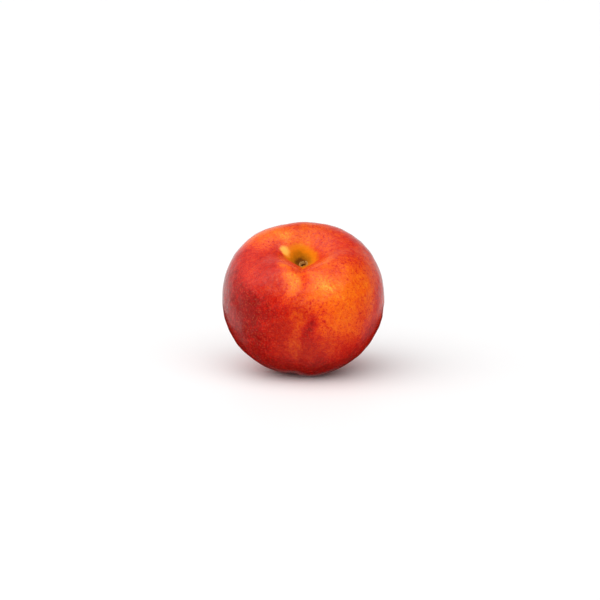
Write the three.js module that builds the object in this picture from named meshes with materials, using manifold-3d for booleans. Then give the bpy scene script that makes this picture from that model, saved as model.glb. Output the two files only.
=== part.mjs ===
// A ripe nectarine, in millimetres, +Z up.
//
// It is one solid: a round fruit with a stem cavity, a suture that runs from the cavity down one
// side to the tip, a faint valley on the other side, and a dry scar where the stem broke off.
// It lies with its stem end up and towards -Y, on a small flat spot.
//
// The skin is one closed surface round the fruit's centre. skinRadius() gives the distance from
// the centre to the skin in any direction, and the directions come from a sphere's vertices.
// In the names, "right" is +X, "front" is the side with the suture, and "up" is the stem end.
// Angles are in radians from the core, with 0 at the stem and PI at the tip.

import * as THREE from "three";
import { mergeVertices } from "three/addons/utils/BufferGeometryUtils.js";
import Module from "manifold-3d";

const { abs, acos, atan2, cos, exp, hypot, sin, tanh, PI } = Math;

// How it lies. The origin is on the surface under it, straight below its centre.
const LEAN = THREE.MathUtils.degToRad(29); // from upright, stem end towards -Y
const CENTRE_HEIGHT = 29.65;

// Body: half widths from the centre, and how full it is. A fullness of 2 is an ellipsoid.
const HALF_WIDTH_RIGHT = 32.6;
const HALF_WIDTH_LEFT = 33.1;
const HALF_DEPTH = 31.6;
const STEM_END = 31.3;
const TIP_END = 29.6;
const FULLNESS_AT_STEM = 2.16;
const FULLNESS_AT_TIP = 2.02;

// Lumps that make it less than regular: two swells a turn, and three swells a turn.
const TWO_SWELLS_HEIGHT = 0.25;
const TWO_SWELLS_TURN = -2.4;
const THREE_SWELLS_HEIGHT = 0.2;
const THREE_SWELLS_TURN = 2.4;

// Stem cavity: a funnel with steep walls, in a wide shallow hollow.
const CAVITY_DEPTH = 10.9;
const CAVITY_ANGLE_FRONT = 0.261;
const CAVITY_ANGLE_BACK = 0.375;
const CAVITY_ANGLE_RIGHT = 0.127; // added on the right
const CAVITY_STEEPNESS = 2.45;
const HOLLOW_DEPTH = 2.15;
const HOLLOW_ANGLE = 0.62;

// Stem scar at the bottom of the cavity: a low ring round a hole.
const CAVITY_FLOOR = STEM_END - HOLLOW_DEPTH - CAVITY_DEPTH; // from the centre
const SCAR_RING_RADIUS = 1.6;
const SCAR_RING_HEIGHT = 0.6;
const SCAR_RING_WIDTH = 0.5;
const SCAR_HOLE_RADIUS = 1;
const SCAR_HOLE_DEPTH = 1;

// Suture: a notch in the cavity's rim, a faint groove down the side, and a crease near the tip.
const NOTCH_DEPTH = 4;
const NOTCH_ANGLE = 0.33;
const NOTCH_SPAN_INSIDE = 0.154;
const NOTCH_SPAN_OUTSIDE = 0.232;
const NOTCH_WIDTH_LEFT = 3.1;
const NOTCH_WIDTH_RIGHT = 1.7;
const GROOVE_DEPTH = 0.35;
const GROOVE_WIDTH = 5;
const CREASE_DEPTH = 1.2;
const CREASE_ANGLE = 2.5;
const CREASE_SPAN = 0.45;
const CREASE_WIDTH = 1.8;

// How far the suture wanders to the right of the fruit's front, at three angles.
const WANDER_TOP = { by: -0.6, angle: 0.5, span: 0.4 };
const WANDER_MIDDLE = { by: 1.4, angle: 1.15, span: 0.35 };
const WANDER_LOW = { by: -3.3, angle: 2.35, span: 0.5 };
const WANDER_RADIUS = 28; // the radius that sideways distances are measured at

// Swollen parts: a shoulder on each side of the suture at the top, one on the far side, and a
// cheek on each side of the suture near the tip, which it lies on. The cavity's rim is low on the
// left.
const SHOULDER_RIGHT = { height: 1.7, angle: 0.355, round: 0.46, span: 0.253 };
const SHOULDER_LEFT = { height: 1.2, angle: 0.61, round: -0.62, span: 0.236 };
const SHOULDER_FAR = { height: 0.5, angle: 0.62, round: 2.8, span: 0.25 };
const LOW_RIM_LEFT = { height: -3.5, angle: 0.47, round: -1.6, span: 0.315 };
const CHEEK_LEFT = { height: 1, angle: 2.75, round: -1, span: 0.35 };
const CHEEK_RIGHT_HEIGHT = 0.8;
const CHEEK_RIGHT_ANGLE = 2.35;
const CHEEK_RIGHT_SPAN = 0.6;
const CHEEK_RIGHT_WIDTH = 0.55;

// The valley on the far side, and the dimple at the tip with its dry point.
const VALLEY_DEPTH = 0.5;
const VALLEY_ANGLE = 0.62;
const VALLEY_SPAN = 0.45;
const VALLEY_WIDTH = 5;
const VALLEY_TURN = THREE.MathUtils.degToRad(-155); // round the core, from the front
const DIMPLE_DEPTH = 1.3;
const DIMPLE_ANGLE = 0.24;
const POINT_HEIGHT = 0.9;
const POINT_ANGLE = 0.05;

// Rings and meridians of the surface. The rings are closer together near the stem.
const RINGS = 58;
const MERIDIANS = 88;
const RING_CLOSENESS = 0.25; // the first ring's share of an even step

const COLOURS = { skin: 0xc93a22 };

function bell(x, middle, span) {
  return exp(-(((x - middle) / span) ** 2));
}

// Rises smoothly from 0 to 1 as x goes from below zero to above it.
function ramp(x, width) {
  return 0.5 + 0.5 * tanh(x / width);
}

// The size of x, with the corner at zero rounded off.
function roundedSize(x, radius) {
  return hypot(x, radius) - radius;
}

// A rounded swelling about one direction on the fruit.
function swelling(right, front, up, { height, angle, round, span }) {
  const away = hypot(
    right - sin(angle) * sin(round),
    front - sin(angle) * cos(round),
    up - cos(angle),
  );
  return height * bell(away, 0, span);
}

function bodyRadius(right, front, up) {
  const round = atan2(right, front);
  const flat = hypot(right, front);
  const fullness = FULLNESS_AT_TIP + (FULLNESS_AT_STEM - FULLNESS_AT_TIP) * (0.5 + 0.5 * up);
  const across = abs(right / (right > 0 ? HALF_WIDTH_RIGHT : HALF_WIDTH_LEFT)) ** fullness;
  const along = abs(front / HALF_DEPTH) ** fullness;
  const upward = abs(up / (up > 0 ? STEM_END : TIP_END)) ** fullness;
  return (across + along + upward) ** (-1 / fullness)
    + TWO_SWELLS_HEIGHT * flat ** 2 * up * sin(2 * round + TWO_SWELLS_TURN)
    + THREE_SWELLS_HEIGHT * flat ** 3 * sin(3 * round + THREE_SWELLS_TURN);
}

// The stem cavity's depth below the body, with the hollow that it is in.
function cavityDepth(right, front, angle) {
  const width = CAVITY_ANGLE_BACK
    + (CAVITY_ANGLE_FRONT - CAVITY_ANGLE_BACK) * ramp(front, 0.12)
    + CAVITY_ANGLE_RIGHT * ramp(right, 0.12);
  return CAVITY_DEPTH * exp(-((angle / width) ** CAVITY_STEEPNESS))
    + HOLLOW_DEPTH * bell(angle, 0, HOLLOW_ANGLE);
}

// The scar's height above the cavity's floor, and below it in the hole.
function scarHeight(right, front, up) {
  if (up < 0) return 0;
  const away = CAVITY_FLOOR * hypot(right, front);
  return SCAR_RING_HEIGHT * bell(away, SCAR_RING_RADIUS, SCAR_RING_WIDTH)
    - SCAR_HOLE_DEPTH * bell(away, 0, SCAR_HOLE_RADIUS);
}

// Sideways distance from the suture, in millimetres, with the right positive.
function fromSuture(right, angle) {
  let wander = 0;
  for (const { by, angle: middle, span } of [WANDER_TOP, WANDER_MIDDLE, WANDER_LOW]) {
    wander += by * bell(angle, middle, span);
  }
  return WANDER_RADIUS * right - wander;
}

function sutureDepth(right, front, angle) {
  const aside = fromSuture(right, angle);
  const notchSpan = angle < NOTCH_ANGLE ? NOTCH_SPAN_INSIDE : NOTCH_SPAN_OUTSIDE;
  const notchWidth = aside < 0 ? NOTCH_WIDTH_LEFT : NOTCH_WIDTH_RIGHT;
  const notch = NOTCH_DEPTH * bell(angle, NOTCH_ANGLE, notchSpan)
    * exp(-roundedSize(aside, 1) / notchWidth);
  const groove = GROOVE_DEPTH * sin(angle) ** 2 * exp(-roundedSize(aside, 1) / GROOVE_WIDTH);
  const crease = CREASE_DEPTH * bell(angle, CREASE_ANGLE, CREASE_SPAN)
    * exp(-roundedSize(aside, 1) / CREASE_WIDTH);
  return (notch + groove + crease) * ramp(front, 0.12);
}

function valleyDepth(right, front, angle) {
  const aside = right * cos(VALLEY_TURN) - front * sin(VALLEY_TURN);
  const ahead = right * sin(VALLEY_TURN) + front * cos(VALLEY_TURN);
  return VALLEY_DEPTH * bell(angle, VALLEY_ANGLE, VALLEY_SPAN)
    * exp(-roundedSize(WANDER_RADIUS * aside, 2) / VALLEY_WIDTH) * ramp(ahead, 0.12);
}

function rightCheekHeight(right, front, angle) {
  return CHEEK_RIGHT_HEIGHT * bell(angle, CHEEK_RIGHT_ANGLE, CHEEK_RIGHT_SPAN)
    * bell(right, 0, CHEEK_RIGHT_WIDTH) * ramp(fromSuture(right, angle), 2) * ramp(front, 0.12);
}

function dimpleDepth(angle) {
  return DIMPLE_DEPTH * bell(PI - angle, 0, DIMPLE_ANGLE)
    - POINT_HEIGHT * bell(PI - angle, 0, POINT_ANGLE);
}

// From the centre to the skin. The direction's three parts make a unit vector.
function skinRadius(right, front, up) {
  const angle = acos(up);
  return bodyRadius(right, front, up)
    - cavityDepth(right, front, angle)
    - sutureDepth(right, front, angle)
    - valleyDepth(right, front, angle)
    - dimpleDepth(angle)
    + swelling(right, front, up, SHOULDER_RIGHT)
    + swelling(right, front, up, SHOULDER_LEFT)
    + swelling(right, front, up, SHOULDER_FAR)
    + swelling(right, front, up, LOW_RIM_LEFT)
    + swelling(right, front, up, CHEEK_LEFT)
    + rightCheekHeight(right, front, angle)
    + scarHeight(right, front, up);
}

function fruitGeometry() {
  const geometry = new THREE.SphereGeometry(1, MERIDIANS, RINGS);
  geometry.rotateX(PI / 2);
  const position = geometry.attributes.position;
  for (let i = 0; i < position.count; i += 1) {
    const part = acos(THREE.MathUtils.clamp(position.getZ(i), -1, 1)) / PI;
    const angle = PI * (RING_CLOSENESS * part + (1 - RING_CLOSENESS) * part ** 1.5);
    const round = atan2(position.getX(i), -position.getY(i));
    const right = sin(angle) * sin(round);
    const front = sin(angle) * cos(round);
    const up = cos(angle);
    const radius = skinRadius(right, front, up);
    position.setXYZ(i, radius * right, -radius * front, radius * up);
  }
  geometry.rotateX(LEAN);
  geometry.translate(0, 0, CENTRE_HEIGHT);
  return geometry;
}

const wasm = await Module();
wasm.setup();

function toManifold(geometry) {
  const bare = geometry.clone();
  bare.deleteAttribute("normal");
  bare.deleteAttribute("uv");
  const merged = mergeVertices(bare, 1e-4);
  return new wasm.Manifold(new wasm.Mesh({
    numProp: 3,
    vertProperties: new Float32Array(merged.attributes.position.array),
    triVerts: new Uint32Array(merged.index.array),
  }));
}

function toGeometry(manifold) {
  const mesh = manifold.getMesh();
  const geometry = new THREE.BufferGeometry();
  geometry.setAttribute("position", new THREE.BufferAttribute(mesh.vertProperties, 3));
  geometry.setIndex(new THREE.BufferAttribute(mesh.triVerts, 1));
  geometry.computeVertexNormals();
  return geometry;
}

// The flat spot is where the fruit's own weight presses it level.
const below = new THREE.BoxGeometry(90, 90, 20);
below.translate(0, 0, -10);
const fruit = toManifold(fruitGeometry()).subtract(toManifold(below));

const skin = new THREE.MeshStandardMaterial({ color: COLOURS.skin, roughness: 0.38, metalness: 0 });
const nectarine = new THREE.Mesh(toGeometry(fruit), skin);
nectarine.name = "nectarine";

const root = new THREE.Group();
root.name = "root";
root.add(nectarine);

export default root;
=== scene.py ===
# A ripe nectarine at rest on a pale floor, its stem end leaning to the front, in metres, +Z up.
from math import cos, radians, sin, tau

import bpy
import numpy as np
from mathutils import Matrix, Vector


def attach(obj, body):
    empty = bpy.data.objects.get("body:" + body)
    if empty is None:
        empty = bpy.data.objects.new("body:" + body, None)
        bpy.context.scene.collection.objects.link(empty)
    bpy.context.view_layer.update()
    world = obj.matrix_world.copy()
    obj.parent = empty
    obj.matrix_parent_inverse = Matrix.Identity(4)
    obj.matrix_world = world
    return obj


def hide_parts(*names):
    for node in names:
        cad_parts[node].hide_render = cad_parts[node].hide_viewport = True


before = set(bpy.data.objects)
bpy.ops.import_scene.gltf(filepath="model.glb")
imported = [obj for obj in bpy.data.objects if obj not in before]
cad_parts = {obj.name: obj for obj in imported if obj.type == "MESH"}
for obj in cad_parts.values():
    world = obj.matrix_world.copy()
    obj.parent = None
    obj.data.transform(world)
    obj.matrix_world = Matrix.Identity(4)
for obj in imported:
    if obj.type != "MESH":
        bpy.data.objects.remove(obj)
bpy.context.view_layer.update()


# ---- Camera ------------------------------------------------------------------------------------
# A long lens a little above the fruit looks along +Y and down at its stem end. The fruit takes up
# about a quarter of the picture's width, a touch right of the middle.
MM = 0.001
PICTURE_PIXELS = 600
FRUIT_AT_PIXEL = (303.5, 299.0)
FRUIT_WIDTH_PIXELS = 162.5
FRUIT_WIDTH = 66 * MM
CENTRE_HEIGHT = 29.65 * MM
CAMERA_DISTANCE = 0.9
CAMERA_ELEVATION = radians(12)
SENSOR_WIDTH = 36
PICTURE_MIDDLE = 0.5

scene = bpy.context.scene
camera_data = bpy.data.cameras.new("camera")
camera = bpy.data.objects.new("camera", camera_data)
scene.collection.objects.link(camera)
scene.camera = camera

picture_width = PICTURE_PIXELS * FRUIT_WIDTH / FRUIT_WIDTH_PIXELS
towards_camera = Vector((0, -cos(CAMERA_ELEVATION), sin(CAMERA_ELEVATION)))
fruit_centre = Vector((0, 0, CENTRE_HEIGHT))
camera.location = fruit_centre + CAMERA_DISTANCE * towards_camera
camera.rotation_euler = (-towards_camera).to_track_quat("-Z", "Y").to_euler()
camera_data.sensor_width = SENSOR_WIDTH
camera_data.lens = SENSOR_WIDTH * CAMERA_DISTANCE / picture_width
camera_data.shift_x = PICTURE_MIDDLE - FRUIT_AT_PIXEL[0] / PICTURE_PIXELS
camera_data.shift_y = FRUIT_AT_PIXEL[1] / PICTURE_PIXELS - PICTURE_MIDDLE


# ---- The nectarine -----------------------------------------------------------------------------
# A nectarine grows as one piece: a round body with a stem cavity, a suture from the cavity down
# its front to the tip, and a faint valley on its far side. Its skin is thin, waxy and hairless, and
# its own weight presses a small flat spot where it lies.

# The form is a surface round the fruit's centre, in millimetres. In the names, right is +X, front
# is the side with the suture, and up is the stem end. An angle is measured from the core, from 0 at
# the stem to pi at the tip, and a turn goes round the core, from 0 at the front towards the right.
LEAN = radians(29)
HALF_WIDTH_RIGHT = 32.6
HALF_WIDTH_LEFT = 33.1
HALF_DEPTH = 31.6
STEM_END = 31.3
TIP_END = 29.6
FULLNESS_AT_STEM = 2.16
FULLNESS_AT_TIP = 2.02
TWO_SWELLS_HEIGHT = 0.25
TWO_SWELLS_TURN = -2.4
THREE_SWELLS_HEIGHT = 0.2
THREE_SWELLS_TURN = 2.4
SIDE_BLEND = 0.12  # how softly one side's form passes into the other's

CAVITY_DEPTH = 10.9
CAVITY_ANGLE_FRONT = 0.261
CAVITY_ANGLE_BACK = 0.375
CAVITY_ANGLE_RIGHT = 0.127
CAVITY_STEEPNESS = 2.45
HOLLOW_DEPTH = 2.15
HOLLOW_ANGLE = 0.62
CAVITY_FLOOR = STEM_END - HOLLOW_DEPTH - CAVITY_DEPTH

NOTCH_DEPTH = 4
NOTCH_ANGLE = 0.33
NOTCH_SPAN_INSIDE = 0.154
NOTCH_SPAN_OUTSIDE = 0.232
NOTCH_WIDTH_LEFT = 3.1
NOTCH_WIDTH_RIGHT = 1.7
GROOVE_DEPTH = 0.35
GROOVE_WIDTH = 5
CREASE_DEPTH = 1.2
CREASE_ANGLE = 2.5
CREASE_SPAN = 0.45
CREASE_WIDTH = 1.8
SUTURE_ROUNDING = 1
SUTURE_RADIUS = 28
SUTURE_WANDERS = ((-0.6, 0.5, 0.4), (1.4, 1.15, 0.35), (-3.3, 2.35, 0.5))  # by, angle, span

SHOULDERS = (  # height, angle, turn, span
    (1.7, 0.355, 0.46, 0.253),
    (1.2, 0.61, -0.62, 0.236),
    (0.5, 0.62, 2.8, 0.25),
)
LOW_RIM_LEFT = (-3.5, 0.47, -1.6, 0.315)  # in the same order
CHEEK_LEFT = (1, 2.75, -1, 0.35)
CHEEK_RIGHT_HEIGHT = 0.8
CHEEK_RIGHT_ANGLE = 2.35
CHEEK_RIGHT_SPAN = 0.6
CHEEK_RIGHT_WIDTH = 0.55
CHEEK_RIGHT_BLEND = 2

VALLEY_DEPTH = 0.5
VALLEY_ANGLE = 0.62
VALLEY_SPAN = 0.45
VALLEY_WIDTH = 5
VALLEY_ROUNDING = 2
VALLEY_TURN = radians(-155)
DIMPLE_DEPTH = 1.3
DIMPLE_ANGLE = 0.24
POINT_HEIGHT = 0.9
POINT_ANGLE = 0.05

SCAR_RING_RADIUS = 1.6
SCAR_RING_HEIGHT = 0.6
SCAR_RING_WIDTH = 0.5
SCAR_HOLE_RADIUS = 1
SCAR_HOLE_DEPTH = 1
FAR_FROM_SCAR = 100  # beyond its reach

RINGS = 225
MERIDIANS = 430
RINGS_EVEN_SHARE = 0.3  # the rest crowd towards the stem
RINGS_CROWDING = 1.6


def bell(x, middle, span):
    return np.exp(-(((x - middle) / span) ** 2))


def ramp(x, width):
    return 0.5 + 0.5 * np.tanh(x / width)


def rounded_size(x, radius):
    return np.hypot(x, radius) - radius


def body_radius(right, front, up):
    turn = np.arctan2(right, front)
    flat = np.hypot(right, front)
    fullness = FULLNESS_AT_TIP + (FULLNESS_AT_STEM - FULLNESS_AT_TIP) * (0.5 + 0.5 * up)
    across = np.abs(right / np.where(right > 0, HALF_WIDTH_RIGHT, HALF_WIDTH_LEFT)) ** fullness
    along = np.abs(front / HALF_DEPTH) ** fullness
    upward = np.abs(up / np.where(up > 0, STEM_END, TIP_END)) ** fullness
    swells = TWO_SWELLS_HEIGHT * flat**2 * up * np.sin(2 * turn + TWO_SWELLS_TURN)
    swells = swells + THREE_SWELLS_HEIGHT * flat**3 * np.sin(3 * turn + THREE_SWELLS_TURN)
    return (across + along + upward) ** (-1 / fullness) + swells


def swelling(right, front, up, height, angle, turn, span):
    away_right = right - sin(angle) * sin(turn)
    away_front = front - sin(angle) * cos(turn)
    away_up = up - cos(angle)
    return height * np.exp(-(away_right**2 + away_front**2 + away_up**2) / span**2)


def cavity_depth(right, front, angle):
    width = CAVITY_ANGLE_BACK + (CAVITY_ANGLE_FRONT - CAVITY_ANGLE_BACK) * ramp(front, SIDE_BLEND)
    width = width + CAVITY_ANGLE_RIGHT * ramp(right, SIDE_BLEND)
    funnel = CAVITY_DEPTH * np.exp(-((angle / width) ** CAVITY_STEEPNESS))
    return funnel + HOLLOW_DEPTH * bell(angle, 0, HOLLOW_ANGLE)


def from_suture(right, angle):
    wander = sum(by * bell(angle, at, span) for by, at, span in SUTURE_WANDERS)
    return SUTURE_RADIUS * right - wander


def suture_depth(right, front, angle):
    aside = from_suture(right, angle)
    notch_span = np.where(angle < NOTCH_ANGLE, NOTCH_SPAN_INSIDE, NOTCH_SPAN_OUTSIDE)
    notch_width = np.where(aside < 0, NOTCH_WIDTH_LEFT, NOTCH_WIDTH_RIGHT)
    away = rounded_size(aside, SUTURE_ROUNDING)
    notch = NOTCH_DEPTH * bell(angle, NOTCH_ANGLE, notch_span) * np.exp(-away / notch_width)
    groove = GROOVE_DEPTH * np.sin(angle) ** 2 * np.exp(-away / GROOVE_WIDTH)
    crease = CREASE_DEPTH * bell(angle, CREASE_ANGLE, CREASE_SPAN) * np.exp(-away / CREASE_WIDTH)
    return (notch + groove + crease) * ramp(front, SIDE_BLEND)


def valley_depth(right, front, angle):
    aside = right * cos(VALLEY_TURN) - front * sin(VALLEY_TURN)
    ahead = right * sin(VALLEY_TURN) + front * cos(VALLEY_TURN)
    across = np.exp(-rounded_size(SUTURE_RADIUS * aside, VALLEY_ROUNDING) / VALLEY_WIDTH)
    return VALLEY_DEPTH * bell(angle, VALLEY_ANGLE, VALLEY_SPAN) * across * ramp(ahead, SIDE_BLEND)


def dimple_depth(angle):
    from_tip = np.pi - angle
    dimple = DIMPLE_DEPTH * bell(from_tip, 0, DIMPLE_ANGLE)
    return dimple - POINT_HEIGHT * bell(from_tip, 0, POINT_ANGLE)


def right_cheek_height(right, front, angle):
    height = CHEEK_RIGHT_HEIGHT * bell(angle, CHEEK_RIGHT_ANGLE, CHEEK_RIGHT_SPAN)
    side = ramp(from_suture(right, angle), CHEEK_RIGHT_BLEND) * ramp(front, SIDE_BLEND)
    return height * bell(right, 0, CHEEK_RIGHT_WIDTH) * side


def scar_height(right, front, up):
    away = np.where(up > 0, CAVITY_FLOOR * np.hypot(right, front), FAR_FROM_SCAR)
    ring = SCAR_RING_HEIGHT * bell(away, SCAR_RING_RADIUS, SCAR_RING_WIDTH)
    return ring - SCAR_HOLE_DEPTH * bell(away, 0, SCAR_HOLE_RADIUS)


def skin_radius(right, front, up, angle):
    return (
        body_radius(right, front, up)
        - cavity_depth(right, front, angle)
        - suture_depth(right, front, angle)
        - valley_depth(right, front, angle)
        - dimple_depth(angle)
        + sum(swelling(right, front, up, *shoulder) for shoulder in SHOULDERS)
        + swelling(right, front, up, *LOW_RIM_LEFT)
        + swelling(right, front, up, *CHEEK_LEFT)
        + right_cheek_height(right, front, angle)
        + scar_height(right, front, up)
    )


share = np.arange(1, RINGS) / RINGS
crowded = share**RINGS_CROWDING
ring_angle = np.pi * (RINGS_EVEN_SHARE * share + (1 - RINGS_EVEN_SHARE) * crowded)
turn = tau * np.arange(MERIDIANS) / MERIDIANS
angle, turn = [grid.ravel() for grid in np.meshgrid(ring_angle, turn, indexing="ij")]
angle = np.concatenate([angle, [0, np.pi]])
turn = np.concatenate([turn, [0, 0]])
way = np.array([np.sin(angle) * np.sin(turn), np.sin(angle) * np.cos(turn), np.cos(angle)])
radius = skin_radius(*way, angle)
smooth_place = (radius * way).T

# Low ripples all over, a few millimetres across. Each kind of ripple draws from its own seed.
RIPPLES = ((9, 0.05), (5, 0.03), (3, 0.015))  # size and seed, height
WAVES_SUMMED = 24


def waves(size, seed):
    dice = np.random.default_rng(seed)
    headings = dice.normal(size=(WAVES_SUMMED, 3))
    headings /= np.linalg.norm(headings, axis=1, keepdims=True)
    starts = dice.uniform(0, tau, WAVES_SUMMED)
    heights = np.sin(smooth_place @ headings.T * tau / size + starts)
    return heights.sum(1) / np.sqrt(WAVES_SUMMED / 2)


ripple = sum(height * waves(size, size) for size, height in RIPPLES)

# The scar's dry ring is torn round its crest, and fine wrinkles run out from it over the cavity.
TEARS = ((5, 0.7, 0.16), (8, 2.1, 0.10), (13, 0.4, 0.06))  # number round the ring, start, height
WRINKLES = 26
WRINKLE_BUNCHES = 3
WRINKLES_PULLED = 2  # how far they are pulled into the bunches
WRINKLE_HEIGHT = 0.05
WRINKLES_MIDDLE = 2.6
WRINKLES_REACH = 1.1
SCAR_ENDS = 1  # an angle well outside the cavity
from_axis = CAVITY_FLOOR * np.sin(angle) + FAR_FROM_SCAR * (angle > SCAR_ENDS)
tears = sum(height * np.sin(number * turn + start) for number, start, height in TEARS)
ripple += tears * bell(from_axis, SCAR_RING_RADIUS, SCAR_RING_WIDTH)
wrinkles = np.sin(WRINKLES * turn + WRINKLES_PULLED * np.sin(WRINKLE_BUNCHES * turn))
wrinkles = wrinkles * bell(from_axis, WRINKLES_MIDDLE, WRINKLES_REACH)
ripple += WRINKLE_HEIGHT * wrinkles
right, front, up = (radius + ripple) * way

# The core leans to the front, and what would be below the floor is pressed flat on it.
points = np.stack(
    [
        right,
        -front * cos(LEAN) - up * sin(LEAN),
        -front * sin(LEAN) + up * cos(LEAN) + CENTRE_HEIGHT / MM,
    ],
    -1,
)
points[:, 2] = np.maximum(points[:, 2], 0)

stem_pole, tip_pole = len(angle) - 2, len(angle) - 1
first_of_ring = MERIDIANS * np.arange(RINGS - 1)[:, None]
this, after = np.arange(MERIDIANS), (np.arange(MERIDIANS) + 1) % MERIDIANS
upper, lower = first_of_ring[:-1], first_of_ring[1:]
quads = np.stack([upper + this, lower + this, lower + after, upper + after], -1).reshape(-1, 4)
stem_fan = np.stack([np.full(MERIDIANS, stem_pole), this, after], -1)
last_ring = first_of_ring[-1]
tip_fan = np.stack([np.full(MERIDIANS, tip_pole), last_ring + after, last_ring + this], -1)
faces = quads.tolist() + stem_fan.tolist() + tip_fan.tolist()

fruit_mesh = bpy.data.meshes.new("nectarine_fruit")
fruit_mesh.from_pydata((points * MM).tolist(), [], faces)
fruit_mesh.shade_smooth()
fruit = bpy.data.objects.new("nectarine_fruit", fruit_mesh)
scene.collection.objects.link(fruit)

# The blush. Ripeness goes from 0, pale yellow, to 1, dark wine, and dusk is how far the skin is
# darkened, partly as its own brown dusk and partly as painted shade on the low front. Patches of
# each are brushed over one another in this order, each with its level, angle, turn, reach along
# the fruit and reach across it.
RIPENESS_ALL_OVER = 0.70
RIPENESS_PATCHES = {
    "left cheek": (1.02, 1.20, -1.15, 0.55, 0.52),
    "left rim": (1.00, 1.38, -1.30, 0.40, 0.28),
    "left shoulder": (0.70, 0.74, -1.20, 0.30, 0.38),
    # The underside patches are dark wine, partly the skin's own blush and partly painted shade
    # under the fruit.
    "underside": (1.00, 2.10, 0.00, 0.40, 1.60),
    "underside, left": (1.00, 1.74, -0.72, 0.27, 0.48),
    "low left": (1.02, 1.30, -0.66, 0.40, 0.28),
    "low centre, left": (0.82, 1.26, -0.40, 0.30, 0.18),
    "low middle": (0.70, 1.52, 0.05, 0.25, 0.45),
    "low right": (0.56, 1.40, 0.62, 0.28, 0.40),
    "low right rim": (0.84, 1.62, 0.95, 0.22, 0.20),
    "right side": (0.48, 0.90, 1.45, 0.35, 0.28),
    "right rim": (0.70, 1.35, 1.35, 0.24, 0.24),
    "top": (0.44, 0.55, 2.95, 0.30, 0.45),
    "top right": (0.64, 0.62, 1.65, 0.20, 0.24),
    "right of the cavity": (0.62, 0.60, 1.05, 0.16, 0.22),
    "top left": (0.28, 0.74, -2.20, 0.24, 0.24),
    "middle of the top": (0.33, 0.60, 3.08, 0.12, 0.11),
    "orange behind the cavity": (0.18, 0.52, -2.52, 0.22, 0.13),
    "far wall of the cavity": (0.24, 0.30, 3.10, 0.16, 0.18),
    "orange right cheek": (0.27, 0.95, 0.70, 0.34, 0.46),
    "orange low right": (0.34, 1.22, 0.60, 0.18, 0.32),
    "orange right rim": (0.31, 0.92, 1.05, 0.22, 0.15),
    "orange beside the suture": (0.42, 1.04, 0.20, 0.16, 0.12),
    "right shoulder": (0.10, 0.72, 0.36, 0.20, 0.20),
    "left hump": (0.16, 0.66, -0.25, 0.17, 0.13),
    "left of the hump": (0.68, 0.78, -0.62, 0.20, 0.15),
    "suture": (0.49, 1.14, -0.06, 0.24, 0.10),
    "suture, low": (0.54, 1.45, -0.12, 0.30, 0.07),
    "wine streak": (0.94, 1.22, 0.12, 0.12, 0.07),
    "wine streak, low": (0.88, 1.37, 0.04, 0.13, 0.08),
    "vee under the cavity": (0.50, 0.55, -0.03, 0.12, 0.06),
    "right rim of the cavity": (0.33, 0.42, 0.85, 0.10, 0.28),
    "left rim of the cavity": (0.22, 0.40, -0.60, 0.10, 0.16),
    "cavity": (0.24, 0.00, 0.00, 0.30, 0.30),
    "cavity, right wall": (0.47, 0.40, 1.85, 0.10, 0.14),
    "cavity, left wall": (0.12, 0.26, -2.10, 0.10, 0.10),
    "far window": (0.32, 1.35, 2.60, 0.40, 0.35),
    "far streak": (0.30, 1.50, -2.70, 0.50, 0.12),
    "tip": (0.40, 3.10, 0.00, 0.30, 0.30),
}
# Darkening patches: partly the skin's own brown dusk and partly painted shade, deepest low in the
# middle of the front.
DUSK_AND_SHADE_PATCHES = {
    "top": (0.10, 0.50, 3.00, 0.30, 0.60),
    "left of the hump": (0.17, 0.80, -0.60, 0.20, 0.18),
    "low centre": (0.26, 1.34, -0.30, 0.26, 0.20),
    "along the suture": (0.22, 1.05, -0.05, 0.26, 0.14),
    "low middle": (0.33, 1.64, 0.00, 0.30, 0.38),
}
YELLOW_FLECK = (1.3, 0.310, -2.06, 0.070, 0.095)  # on the left rim of the cavity
DULL_VEE = (0.9, 0.55, -0.03, 0.13, 0.07)  # where the suture leaves the cavity
PATCH_EDGE = 1.1  # above 1 gives a patch a flatter middle and a quicker edge
PATCH_WANDER = 0.035
ANGLE_WANDERS = (13, 31)  # size, seed
TURN_WANDERS = (11, 37)


def brush_on(levels, level, middle_angle, middle_turn, along, across):
    from_middle = (turn + turn_wander - middle_turn + np.pi) % tau - np.pi
    aside = np.sin(angle) * from_middle
    away = ((angle + angle_wander - middle_angle) / along) ** 2 + (aside / across) ** 2
    return levels + (level - levels) * np.exp(-(away**PATCH_EDGE))


angle_wander = PATCH_WANDER * waves(*ANGLE_WANDERS)
turn_wander = PATCH_WANDER * waves(*TURN_WANDERS)
ripeness = np.full(len(angle), RIPENESS_ALL_OVER)
for patch in RIPENESS_PATCHES.values():
    ripeness = brush_on(ripeness, *patch)
dusk_and_shade = np.zeros(len(angle))
for patch in DUSK_AND_SHADE_PATCHES.values():
    dusk_and_shade = brush_on(dusk_and_shade, *patch)


def paint_on(name, values):
    kind, field = ("FLOAT_VECTOR", "vector") if values.ndim == 2 else ("FLOAT", "value")
    layer = fruit_mesh.attributes.new(name, kind, "POINT")
    layer.data.foreach_set(field, values.ravel().astype(np.float32))


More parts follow.
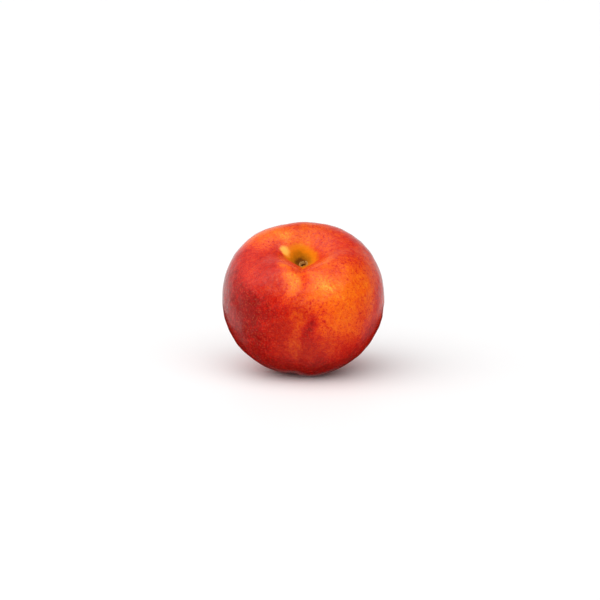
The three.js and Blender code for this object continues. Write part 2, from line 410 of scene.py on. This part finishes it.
# The cavity's painted shade is deepest a little behind its middle and left of it. The grain runs
# from the stem to the tip, so that a pattern laid on it is drawn out into streaks.
CAVITY_SHADE_LEFT = 1.0
CAVITY_SHADE_BACK = 1.1
GRAIN_RADIUS = 30
STREAK_STRETCH = 4
paint_on("ripeness", ripeness)
paint_on("dusk_and_shade", dusk_and_shade)
paint_on("fleck", brush_on(np.zeros(len(angle)), *YELLOW_FLECK))
paint_on("dull_vee", brush_on(np.zeros(len(angle)), *DULL_VEE))
paint_on("from_stem", angle)
paint_on("from_shade", np.hypot(right + CAVITY_SHADE_LEFT, front + CAVITY_SHADE_BACK))
paint_on("place", np.stack([right, front, up], -1))
grain = np.stack([np.sin(turn), np.cos(turn), angle / STREAK_STRETCH], -1) * GRAIN_RADIUS
paint_on("grain", grain)

skin = bpy.data.materials.new("skin")
skin.use_nodes = True
nodes, links = skin.node_tree.nodes, skin.node_tree.links
shader = nodes["Principled BSDF"]


def add_node(kind, sockets, **settings):
    node = nodes.new(kind)
    for name, setting in settings.items():
        setattr(node, name, setting)
    for name, value in sockets.items():
        if isinstance(value, bpy.types.NodeSocket):
            links.new(value, node.inputs[name])
        else:
            node.inputs[name].default_value = value
    return node


def painted(name, output="Fac"):
    return add_node("ShaderNodeAttribute", {}, attribute_name=name).outputs[output]


def plus(a, b):
    return add_node("ShaderNodeMath", {0: a, 1: b}, operation="ADD").outputs[0]


def times(a, b):
    return add_node("ShaderNodeMath", {0: a, 1: b}, operation="MULTIPLY").outputs[0]


def between(value, low, high):
    sockets = {"Value": value, "From Min": low, "From Max": high}
    node = add_node("ShaderNodeMapRange", sockets, interpolation_type="SMOOTHSTEP")
    return node.outputs["Result"]


NOISE_MIDDLE = 0.5


def cloud(where, size, detail=2, roughness=0.5):
    sockets = {"Vector": where, "Scale": 1 / size, "Detail": detail, "Roughness": roughness}
    return plus(add_node("ShaderNodeTexNoise", sockets).outputs["Fac"], -NOISE_MIDDLE)


DOT_CORE = 0.3  # the full part of a dot's radius


def dots(where, spacing, radius, share):
    cell = add_node("ShaderNodeTexVoronoi", {"Vector": where, "Scale": 1 / spacing})
    dot = between(cell.outputs["Distance"], radius / spacing, DOT_CORE * radius / spacing)
    kept = add_node("ShaderNodeMath", {0: cell.outputs["Color"], 1: share}, operation="LESS_THAN")
    return times(dot, kept.outputs[0])


MIX_AMOUNT, MIX_UNDER, MIX_OVER, MIX_RESULT = 0, 6, 7, 2  # sockets of a colour mix


def mixed(amount, under, over):
    sockets = {MIX_AMOUNT: amount, MIX_UNDER: under, MIX_OVER: over}
    return add_node("ShaderNodeMix", sockets, data_type="RGBA").outputs[MIX_RESULT]


place = painted("place", "Vector")
grain = painted("grain", "Vector")
brushed = painted("ripeness")
from_stem = painted("from_stem")

# Unevenness of the blush, from broad to fine.
BLOTCHES = (6, 2, 0.5)  # size in millimetres, detail, roughness
BLOTCHES_SHOW = 0.22
MOTTLE = (1.7, 3, 0.5)
MOTTLE_SHOWS = 0.40
STIPPLE = (0.45, 2, 0.6)
STIPPLE_SHOWS = 0.60
STREAKS = (1.1, 2, 0.5)
STREAKS_SHOW = 0.22
blotches = times(cloud(place, *BLOTCHES), BLOTCHES_SHOW)
mottle = times(cloud(place, *MOTTLE), MOTTLE_SHOWS)
stipple = times(cloud(place, *STIPPLE), STIPPLE_SHOWS)
streaks = times(cloud(grain, *STREAKS), STREAKS_SHOW)
uneven = plus(plus(blotches, mottle), plus(stipple, streaks))

# Dark flecks, as strokes and dots, come where the skin turns orange, and pale pores where it turns
# red. Both are drawn a little crooked. A pair of limits says where a thing begins and is full.
CROOKS_A_MM = 2
CROOKED_BY = 0.6
STROKES = (0.9, 2, 0.5)
STROKE_LIMITS = (0.02, 0.22)
FLECK_DOTS = (1.4, 0.5, 0.3)  # spacing and radius in millimetres, share kept
FLECK_DOTS_SHOW = 0.3
FLECKS_SHOW = 0.26
PORE_DOTS = (0.75, 0.34, 0.6)
TURNS_ORANGE = (0.66, 0.46)
TURNS_RED = (0.60, 0.85)
crooks = add_node("ShaderNodeTexNoise", {"Vector": place, "Scale": CROOKS_A_MM, "Detail": 1})
bends = {0: crooks.outputs["Color"], 1: (CROOKED_BY, CROOKED_BY, CROOKED_BY)}
bent = add_node("ShaderNodeVectorMath", bends, operation="MULTIPLY").outputs[0]
bent_place = add_node("ShaderNodeVectorMath", {0: place, 1: bent}, operation="ADD").outputs[0]
strokes = between(cloud(bent_place, *STROKES), *STROKE_LIMITS)
flecks = plus(times(dots(bent_place, *FLECK_DOTS), FLECK_DOTS_SHOW), strokes)
flecks = times(flecks, between(brushed, *TURNS_ORANGE))
pores = times(dots(bent_place, *PORE_DOTS), between(brushed, *TURNS_RED))
ripe = plus(plus(brushed, uneven), times(flecks, FLECKS_SHOW))

SKIN_COLOURS = (  # ripeness, colour
    (0.00, (0.97, 0.40, 0.040)),
    (0.12, (0.89, 0.23, 0.010)),
    (0.25, (0.91, 0.145, 0.003)),
    (0.38, (0.86, 0.100, 0.003)),
    (0.50, (0.78, 0.062, 0.003)),
    (0.62, (0.68, 0.026, 0.003)),
    (0.74, (0.58, 0.008, 0.001)),
    (0.86, (0.44, 0.003, 0.001)),
    (1.00, (0.26, 0.001, 0.0005)),
)
blush = add_node("ShaderNodeValToRGB", {"Fac": ripe})
stops = blush.color_ramp.elements
while len(stops) < len(SKIN_COLOURS):
    stops.new(position=SKIN_COLOURS[-1][0])
for stop, (level, colour) in zip(stops, SKIN_COLOURS):
    stop.position = level
    stop.color = (*colour, 1)

# Over the blush: painted glints, lighter spots on the red skin in place of sparkles of gloss; the
# pores; a speckled bloom that is partly a painted sheen; the dusk, which is partly painted shade;
# and a fine grime on the red skin.
GLINT_RED = (0.72, 0.035, 0.006, 1)
PORE = (0.95, 0.22, 0.06, 1)
BLOOM_AND_SHEEN = (0.75, 0.45, 0.36, 1)
DUSK_GRIME_AND_SHADE = (0.11, 0.006, 0.0005, 1)
GLINT_SPOTS = (0.9, 3, 0.5)
GLINT_LIMITS = (0.04, 0.24)
GLINTS_ON_RED = (0.60, 0.90)
GLINTS_SHOW = 0.28
PORES_SHOW = 0.16
SPECKLE = (0.55, 2, 0.5)
SPECKLE_LIMITS = (0.02, 0.18)
SPECKLE_SHOWS = 0.030
GRIME = (0.4, 2, 0.65)
GRIME_LIMITS = (0, 0.3)
GRIME_ON_RED = (0.35, 0.80)
GRIME_SHOWS = 0.34
# Painted glints: lighter red spots on the red skin, standing in for sparkles of gloss.
painted_glints = between(cloud(place, *GLINT_SPOTS), *GLINT_LIMITS)
painted_glints = times(painted_glints, between(brushed, *GLINTS_ON_RED))
colour = mixed(times(painted_glints, GLINTS_SHOW), blush.outputs["Color"], GLINT_RED)
colour = mixed(times(pores, PORES_SHOW), colour, PORE)
# A pale speckle, partly bloom and partly a painted sheen in place of gloss.
bloom_and_sheen_specks = between(cloud(place, *SPECKLE), *SPECKLE_LIMITS)
colour = mixed(times(bloom_and_sheen_specks, SPECKLE_SHOWS), colour, BLOOM_AND_SHEEN)
# Darkened by the dusk patches, which are partly painted shade.
colour = mixed(painted("dusk_and_shade"), colour, DUSK_GRIME_AND_SHADE)
grime = between(cloud(place, *GRIME), *GRIME_LIMITS)
grime = times(grime, times(between(brushed, *GRIME_ON_RED), GRIME_SHOWS))
colour = mixed(grime, colour, DUSK_GRIME_AND_SHADE)

# The cavity's wall goes from amber, its own colour, to olive and umber, which are partly its own
# brown and partly a painted shade of the hollow, deepest near the scar. The shade's edge is
# ragged, and it ends at the rim.
CAVITY_COLOURS_AND_SHADE = (  # colour, limits in millimetres from the shade, how far it covers
    ((0.78, 0.225, 0.001, 1), (8.0, 5.4), 0.80),
    ((0.36, 0.12, 0.001, 1), (5.8, 2.8), 0.85),
    ((0.085, 0.020, 0.001, 1), (3.3, 1.3), 0.85),
)
SHADE_RAGS = 1.5
SHADE_RAGGED_BY = 2.2
CAVITY_RIM = (0.36, 0.50)
BEYOND_RIM = 9
shade = plus(painted("from_shade"), times(cloud(place, SHADE_RAGS), SHADE_RAGGED_BY))
shade = plus(shade, times(between(from_stem, *CAVITY_RIM), BEYOND_RIM))
for cavity_colour, limits, cover in CAVITY_COLOURS_AND_SHADE:
    colour = mixed(times(between(shade, *limits), cover), colour, cavity_colour)

# The scar is a broken ring of cork round a hole of dark pith.
CORK = (0.46, 0.24, 0.07, 1)
PITH = (0.030, 0.006, 0.002, 1)
CORK_INNER_EDGE = (0.050, 0.070)
CORK_OUTER_EDGE = (0.112, 0.090)
CORK_RAGS = 1.5
CORK_RAGGED_BY = 0.06
CORK_BREAKS = (0.7, 3, 0.5)
CORK_BREAK_LIMITS = (-0.16, 0.02)
PITH_EDGE = (0.055, 0.035)
ragged = plus(from_stem, times(cloud(place, CORK_RAGS), CORK_RAGGED_BY))
cork = times(between(from_stem, *CORK_INNER_EDGE), between(ragged, *CORK_OUTER_EDGE))
unbroken = between(cloud(place, *CORK_BREAKS), *CORK_BREAK_LIMITS)
colour = mixed(times(cork, unbroken), colour, CORK)
colour = mixed(between(from_stem, *PITH_EDGE), colour, PITH)

# The pale fleck on the cavity's rim, with a ragged edge.
STRAW = (1.0, 0.46, 0.065, 1)
STRAW_RAGS = 1.2
STRAW_RAGGED_BY = 0.5
STRAW_LIMITS = (0.18, 1.10)
straw = plus(painted("fleck"), times(cloud(place, STRAW_RAGS), STRAW_RAGGED_BY))
colour = mixed(between(straw, *STRAW_LIMITS), colour, STRAW)
links.new(colour, shader.inputs["Base Color"])

# The skin is waxy with scuffed grains, except in the cavity and the vee, where it is dull.
WAXY = (1, 0.93, 0.85, 1)
SCUFFED = (0.42, 0.39, 0.36, 1)
DULL = (0.20, 0.16, 0.12, 1)
WAX_ROUGHNESS = 0.18
WAX_VARIES = 0.12
WAX_VARIES_OVER = 0.8
DULL_CAVITY = (0.42, 0.25)
DULL_ROUGHER_BY = 0.70
SCUFFS = (0.9, 2, 0.75)
SCUFF_LIMITS = (-0.12, 0.20)
WAX_IOR = 1.47
roughness = plus(WAX_ROUGHNESS, times(cloud(place, WAX_VARIES_OVER), WAX_VARIES))
dull = plus(between(from_stem, *DULL_CAVITY), painted("dull_vee"))
links.new(plus(roughness, times(dull, DULL_ROUGHER_BY)), shader.inputs["Roughness"])
sparkle = between(cloud(place, *SCUFFS), *SCUFF_LIMITS)
links.new(mixed(dull, mixed(sparkle, SCUFFED, WAXY), DULL), shader.inputs["Specular Tint"])
shader.inputs["IOR"].default_value = WAX_IOR

# The skin's fine bumps, from small to broad.
BUMPS = ((0.45, 0.6), (1.0, 1.0), (2.5, 1.2))  # size in millimetres, share of the height
BUMP_HEIGHT = 0.00009  # in metres
small, middling, broad = [times(cloud(place, size), amount) for size, amount in BUMPS]
bumps = {"Height": plus(plus(small, middling), broad), "Distance": BUMP_HEIGHT, "Strength": 1}
links.new(add_node("ShaderNodeBump", bumps).outputs["Normal"], shader.inputs["Normal"])

fruit_mesh.materials.append(skin)
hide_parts("nectarine")
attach(fruit, "root")


# ---- The floor ---------------------------------------------------------------------------------
# A plain pale matt board, far wider than the view. The skin's gloss doesn't see it, only the card
# and the tent, which come next.
FLOOR_SIZE = 12
FLOOR_WHITE = (0.95, 0.95, 0.95, 1)
FLOOR_ROUGHNESS = 0.6

bpy.ops.mesh.primitive_plane_add(size=FLOOR_SIZE)
floor = bpy.context.object
floor.name = "floor"
floor_paint = bpy.data.materials.new("floor_paint")
floor_paint.use_nodes = True
floor_shader = floor_paint.node_tree.nodes["Principled BSDF"]
floor_shader.inputs["Base Color"].default_value = FLOOR_WHITE
floor_shader.inputs["Roughness"].default_value = FLOOR_ROUGHNESS
floor.data.materials.append(floor_paint)
floor.visible_glossy = False


# ---- The red card ------------------------------------------------------------------------------
# A round card just under the floor, behind the fruit, glows dark red in place of other fruit that
# it could lie with. Only the skin's gloss sees it, and it fades to its edge.
CARD_RADIUS = 0.092
CARD_SOLID_TO = 0.066
CARD_BACK = 0.063
CARD_DOWN = 0.0003
CARD_BLACK = (0, 0, 0, 1)
CARD_RED = (0.10, 0.005, 0.003, 1)

card_place = (0, CARD_BACK, -CARD_DOWN)
bpy.ops.mesh.primitive_circle_add(radius=CARD_RADIUS, fill_type="NGON", location=card_place)
card = bpy.context.object
card.name = "red_card"
card_paint = bpy.data.materials.new("card_paint")
card_paint.use_nodes = True
nodes, links = card_paint.node_tree.nodes, card_paint.node_tree.links
card_shader = nodes["Principled BSDF"]
card_shader.inputs["Base Color"].default_value = CARD_BLACK
card_shader.inputs["Specular IOR Level"].default_value = 0
card_shader.inputs["Emission Color"].default_value = CARD_RED
card_shader.inputs["Emission Strength"].default_value = 1
on_card = add_node("ShaderNodeTexCoord", {}).outputs["Object"]
from_middle = add_node("ShaderNodeVectorMath", {0: on_card}, operation="LENGTH").outputs["Value"]
links.new(between(from_middle, CARD_RADIUS, CARD_SOLID_TO), card_shader.inputs["Alpha"])
card.data.materials.append(card_paint)
card.visible_camera = card.visible_diffuse = card.visible_shadow = False


# ---- The light tent ----------------------------------------------------------------------------
# A tent of thin white cloth, far off all round, lights the fruit. Its top and upper front are one
# broad soft light, stronger on the left. The wall behind and the ground in front are fainter, and
# the right side is dim. The camera sees the whole tent as plain white.
WHITE = (1, 1, 1, 1)
UP = (0, 0, 1)
FRONT_LIGHT = ((-0.26, -0.77, 0.59), -0.03, 0.88, 2.05)  # direction, limits along it, brightness
FRONT_LIGHT_ABOVE = (UP, -0.12, 0.68, 1)
BACK_WALL = ((-0.30, 0.77, -0.56), -0.80, 1.40, 0.9)
BACK_WALL_ABOVE = (UP, -0.70, -0.45, 1)
FRONT_GROUND = ((0.13, -0.48, -0.87), 0.59, 1.26, 0.6)
DIM_CLOTH = 0.03

tent = bpy.data.worlds.new("light_tent")
scene.world = tent
tent.use_nodes = True
nodes, links = tent.node_tree.nodes, tent.node_tree.links
towards = add_node("ShaderNodeTexCoord", {}).outputs["Generated"]


def glow(direction, fades_at, full_at, brightness):
    ahead = {0: towards, 1: direction}
    along = add_node("ShaderNodeVectorMath", ahead, operation="DOT_PRODUCT").outputs["Value"]
    sockets = {"Value": along, "From Min": fades_at, "From Max": full_at, "To Max": brightness}
    node = add_node("ShaderNodeMapRange", sockets, interpolation_type="SMOOTHSTEP")
    return node.outputs["Result"]


front_and_top = times(glow(*FRONT_LIGHT), glow(*FRONT_LIGHT_ABOVE))
wall_behind = times(glow(*BACK_WALL), glow(*BACK_WALL_ABOVE))
strength = plus(plus(front_and_top, wall_behind), plus(glow(*FRONT_GROUND), DIM_CLOTH))
seen_by_camera = add_node("ShaderNodeLightPath", {}).outputs["Is Camera Ray"]
seen_white = add_node("ShaderNodeMix", {"Factor": seen_by_camera, "A": strength, "B": 1})
links.new(seen_white.outputs["Result"], nodes["Background"].inputs["Strength"])
nodes["Background"].inputs["Color"].default_value = WHITE

scene.view_settings.view_transform = "Standard"
